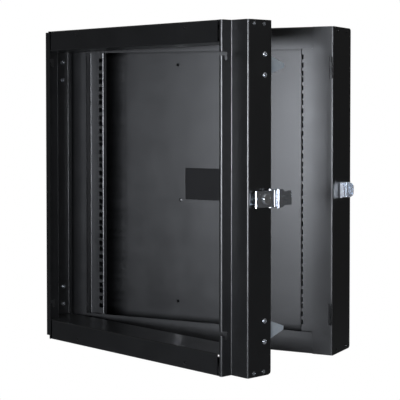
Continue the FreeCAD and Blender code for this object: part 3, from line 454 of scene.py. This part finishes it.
# %% [markdown]
# ## Blind rivets
# A blind rivet's head is a low dome with a small hole in the middle, where the broken
# mandrel sits a little below the surface. The profile runs over the mandrel, up the wall of
# the hole, over the dome, under the rim, along the shank and round the set tail.


# %% Build the rivets
def rivet_skin(length, head_radius, rise=0.0011, shank=0.0019, angles=36):
    """Dome h = rise (sqrt(1 - (0.85 r / R)²) - 1), with a sunk mandrel in its middle."""
    hole, lip = head_radius * 0.3, 0.0012
    over = np.linspace(hole * 1.12, head_radius * 0.99, 9)
    dome = rise * 0.9 * (np.sqrt(1 - (0.85 * over / head_radius) ** 2) - 1)
    tail = head_radius * 0.85
    radius = [hole * 0.6, hole * 0.92, hole, *over, head_radius, head_radius * 0.97, shank, shank,
              tail * 0.96, tail, tail * 0.9]
    height = [-0.0004, -0.00042, -0.0005, *dome, -rise * 0.8, -rise, -rise, -length + lip,
              -length + lip, -length + lip * 0.75, -length]
    ones = np.ones((1, angles))
    return turned_skin(np.array(radius)[:, None] * ones, np.array(height)[:, None] * ones)


swing_front = np.array([-math.sin(open_angle), -math.cos(open_angle), 0])
world_right = np.array([1.0, 0, 0])
middle_from_hinge = 0.3
rivet_nodes = {"frame_side_rivets": ("swing_frame", swing_right, True, "zinc"),
               "frame_face_rivets": ("swing_frame", swing_front, False, "black_coat"),
               "latch_base_rivets": ("swing_frame", swing_right, False, "zinc"),
               "box_side_rivets": ("wall_box", world_right, True, "black_coat"),
               "keeper_rivets": ("wall_box", world_right, False, "zinc")}
for node, (body, out, both_sides, slot) in rivet_nodes.items():
    skins = []
    for solid in solids_of(node):
        on_left = both_sides and (solid.mean(axis=0) - hinge) @ out < middle_from_hinge
        way = -out if on_left else out
        tip, length, radius = measure_along(solid, way)
        points, faces = rivet_skin(length, radius)
        skins.append((stand_on(points, tip, way), faces))
    make_piece(node + "_detail", skins, body, zinc if slot == "zinc" else shiny_black, node)

# %% [markdown]
# ## Floor, backdrop and light
# The cabinet hangs in a pale studio. A camera ray that misses it sees plain white. Metal and
# gloss also see that background, but only a small share of it, or black would turn grey.
# The floor far below keeps the cabinet's soft shadow and runs into the white further out.


# %% Make the floor and the painted-shade card behind the cabinet
def add_nodes(nodes, *kinds):
    """One new node of each kind, in order."""
    return [nodes.new("ShaderNode" + kind) for kind in kinds]


def paint_material(name, colour, roughness):
    """A new material with one plain Principled paint, its nodes, its link call and its shader."""
    material = bpy.data.materials.new(name)
    material.use_nodes = True
    nodes, link = material.node_tree.nodes, material.node_tree.links.new
    paint = nodes["Principled BSDF"]
    paint.inputs["Base Color"].default_value = (*colour, 1)
    paint.inputs["Roughness"].default_value = roughness
    return material, nodes, link, paint.outputs["BSDF"]


def pale_floor_material():
    """Pale paint. A camera ray sees it nearly white near by, and plain white from far off on."""
    near_by, far_off, glow_near = 1.0, 2.6, 0.86
    material, nodes, link, paint = paint_material("pale floor", (0.2, 0.2, 0.2), 0.9)
    place, middle, reach = add_nodes(nodes, "TexCoord", "VectorMath", "MapRange")
    middle.operation = "LENGTH"
    reach.inputs["From Min"].default_value = near_by
    reach.inputs["From Max"].default_value = far_off
    link(place.outputs["Object"], middle.inputs[0])
    link(middle.outputs["Value"], reach.inputs["Value"])
    near_glow, far_glow, lit = add_nodes(nodes, "Emission", "Emission", "AddShader")
    fade, seen, rays = add_nodes(nodes, "MixShader", "MixShader", "LightPath")
    near_glow.inputs["Strength"].default_value = glow_near
    link(paint, lit.inputs[0])
    link(near_glow.outputs["Emission"], lit.inputs[1])
    link(reach.outputs["Result"], fade.inputs["Fac"])
    link(lit.outputs["Shader"], fade.inputs[1])
    link(far_glow.outputs["Emission"], fade.inputs[2])
    link(rays.outputs["Is Camera Ray"], seen.inputs["Fac"])
    link(paint, seen.inputs[1])
    link(fade.outputs["Shader"], seen.inputs[2])
    link(seen.outputs["Shader"], nodes["Material Output"].inputs["Surface"])
    return material


def shade_card_material():
    """Dark paint as painted shade behind the back, which only a camera ray from the front meets:
    camera ray minus backfacing.
    """
    material, nodes, link, paint = paint_material("painted shade card", (0.01, 0.01, 0.012), 0.95)
    side, rays, from_front = add_nodes(nodes, "NewGeometry", "LightPath", "Math")
    clear, choose = add_nodes(nodes, "BsdfTransparent", "MixShader")
    from_front.operation = "SUBTRACT"
    from_front.use_clamp = True
    link(rays.outputs["Is Camera Ray"], from_front.inputs[0])
    link(side.outputs["Backfacing"], from_front.inputs[1])
    link(from_front.outputs["Value"], choose.inputs["Fac"])
    link(clear.outputs["BSDF"], choose.inputs[1])
    link(paint, choose.inputs[2])
    link(choose.outputs["Shader"], nodes["Material Output"].inputs["Surface"])
    return material


def stage_sheet(name, corners, material):
    """A flat stage piece with four corners, which is no part of the cabinet."""
    mesh = bpy.data.meshes.new(name)
    mesh.from_pydata(corners, [], [(0, 1, 2, 3)])
    mesh.materials.append(material)
    sheet = bpy.data.objects.new(name, mesh)
    bpy.context.scene.collection.objects.link(sheet)
    return sheet


floor_z, reach = -1.1, 6
floor = stage_sheet("studio_floor", [(-reach, -reach, 0), (reach, -reach, 0), (reach, reach, 0),
                                     (-reach, reach, 0)], pale_floor_material())
floor.location.z = floor_z

# A dark card stands for the shade on the wall behind the cabinet. It is painted shade, seen
# through the two screw holes in the back. Light and other views pass through it, so the back can
# be looked at as well.
half_x, half_z, wall_gap = 0.22, 0.27, 0.012
card_y = cad_bounds[1][1] + wall_gap
stage_sheet("wall_card", [(-half_x, card_y, -half_z), (half_x, card_y, -half_z),
                          (half_x, card_y, half_z), (-half_x, card_y, half_z)],
            shade_card_material())
print("floor at", floor_z, "m; wall card", round(card_y, 3), "m behind the middle of the back")

# %% [markdown]
# ## The world round the cabinet
# A dim room is darkest at the horizon and a little paler overhead. The Light Path node tells
# apart who looks: the camera sees strength 1, which is white, and gloss and glass see the
# room with a small share of that white added, a little more of it from the right.

# %% Make the world
world = bpy.data.worlds.new("studio")
bpy.context.scene.world = world
world.use_nodes = True
nodes, link = world.node_tree.nodes, world.node_tree.links.new
place, split, ceiling, rays = add_nodes(nodes, "TexCoord", "SeparateXYZ", "MapRange", "LightPath")
for label, value in (("From Min", 0.05), ("From Max", 0.9), ("To Min", 0.02), ("To Max", 0.20)):
    ceiling.inputs[label].default_value = value
link(place.outputs["Generated"], split.inputs["Vector"])
link(split.outputs["Z"], ceiling.inputs["Value"])
gloss_sees, gloss_share, add_gloss, seen = add_nodes(nodes, "Math", "MapRange", "Math", "Mix")
for label, value in (("From Min", 0.45), ("From Max", 1.0), ("To Min", 0.02), ("To Max", 0.07)):
    gloss_share.inputs[label].default_value = value
link(split.outputs["X"], gloss_share.inputs["Value"])
gloss_sees.operation, add_gloss.operation = "MAXIMUM", "MULTIPLY_ADD"
link(rays.outputs["Is Glossy Ray"], gloss_sees.inputs[0])
link(rays.outputs["Is Transmission Ray"], gloss_sees.inputs[1])
link(gloss_sees.outputs["Value"], add_gloss.inputs[0])
link(gloss_share.outputs["Result"], add_gloss.inputs[1])
link(ceiling.outputs["Result"], add_gloss.inputs[2])
link(add_gloss.outputs["Value"], seen.inputs["A"])
seen.inputs["B"].default_value = 1.0
link(rays.outputs["Is Camera Ray"], seen.inputs["Factor"])
link(seen.outputs["Result"], nodes["Background"].inputs["Strength"])
nodes["Background"].inputs["Color"].default_value = (1, 1, 1, 1)
print("ceiling light", round(ceiling.inputs["To Max"].default_value, 2))

# %% [markdown]
# ## Soft lamps
# One wide box in front of the cabinet gives the flat inner panels their slow fade from left
# to right, and a smaller one on the right draws the bright lines along the bends and rolls.
# The upright boxes end below the cabinet's top: a black top seen at a flat angle would
# otherwise mirror them and turn white. A faint lamp overhead keeps the tops readable.


# %% Hang the soft lamps
def soft_lamp(name, place, target, size, power, tint=(1, 1, 1)):
    """A rectangular area lamp at place, facing target."""
    data = bpy.data.lights.new(name, "AREA")
    data.shape = "RECTANGLE"
    data.size, data.size_y = size
    data.energy = power
    data.color = tint
    lamp = bpy.data.objects.new(name, data)
    bpy.context.scene.collection.objects.link(lamp)
    direction = np.array(target, float) - np.array(place, float)
    yaw = math.atan2(direction[1], direction[0]) - math.pi / 2
    pitch = math.atan2(direction[2], math.hypot(direction[0], direction[1]))
    lamp.location = place
    lamp.rotation_euler = (math.pi / 2 + pitch, 0, yaw)


sky = (0.88, 0.92, 1.0)
soft_lamp("front box", (0.1, -3.0, 0.08), (0.1, 0, 0.08), (1.8, 0.46), 104, sky)
soft_lamp("right box", (2.7, -2.3, 0.0), (0, 0, 0), (1.2, 0.6), 20, sky)
soft_lamp("top box", (0.4, -1.4, 2.6), (0, 0, 0), (2.5, 2.0), 12)
soft_lamp("back box", (-1.4, 2.8, 0.0), (0, 0, 0), (2.0, 0.6), 60, sky)

# %% [markdown]
# ## Camera
# A long lens from the right keeps the sides nearly parallel. The camera stands a little
# above the middle and looks down by two degrees; a small shift does the rest of the framing,
# so that upright edges stay upright.

# %% Place the camera
camera_data = bpy.data.cameras.new("camera")
camera_data.sensor_width = 36.0
camera_data.lens = 115.0
camera = bpy.data.objects.new("camera", camera_data)
bpy.context.scene.collection.objects.link(camera)
bpy.context.scene.camera = camera
look_down, turn_left = math.radians(2.0), math.radians(27.04)
camera.location = (1.1873, -2.3977, 0.1659)
camera.rotation_euler = (math.pi / 2 - look_down, 0, turn_left)
horizon_above_middle = 0.2368
lens_share = camera_data.lens / camera_data.sensor_width
camera_data.shift_y = math.tan(look_down) * lens_share - horizon_above_middle
bpy.context.scene.view_settings.view_transform = "Standard"
print("camera shift", round(camera_data.shift_y, 3))
